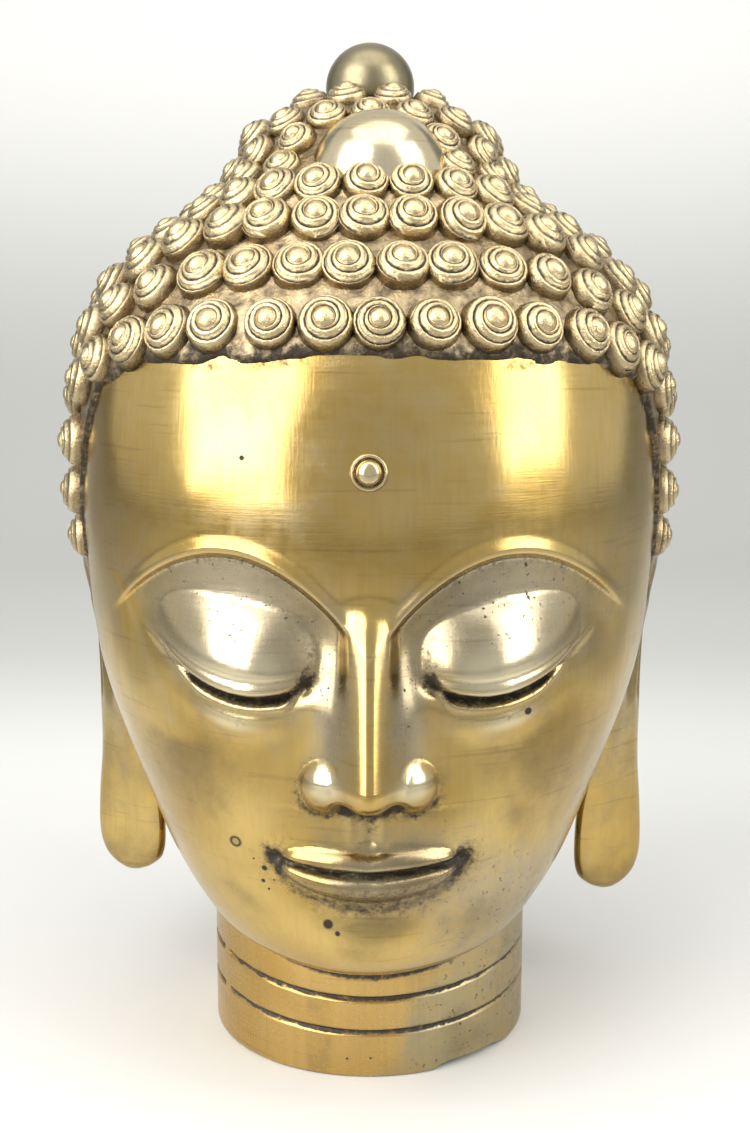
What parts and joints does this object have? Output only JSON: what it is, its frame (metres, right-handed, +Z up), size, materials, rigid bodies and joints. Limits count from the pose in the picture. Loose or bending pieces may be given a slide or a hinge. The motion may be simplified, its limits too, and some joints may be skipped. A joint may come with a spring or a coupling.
{
  "type": "cast metal buddha head",
  "caption": "Cast gilt metal head of a buddha with lowered eyes, rows of snail-shell curls, a jewel and dome on the crown, long ears and a short ringed neck with a flat foot.",
  "frame": {"origin": "middle of the neck's flat underside", "axes": "+Z up, the face looks towards -Y, +X is on the viewer's right"},
  "size_m": [0.204, 0.2212, 0.33],
  "materials": {
    "gilt_brass": "rubbed gold-coloured brass with grey tarnish on the face and brown patina in the recesses"
  },
  "bodies": {
    "root": {"buddha_head": "gilt_brass"}
  },
  "joints": []
}
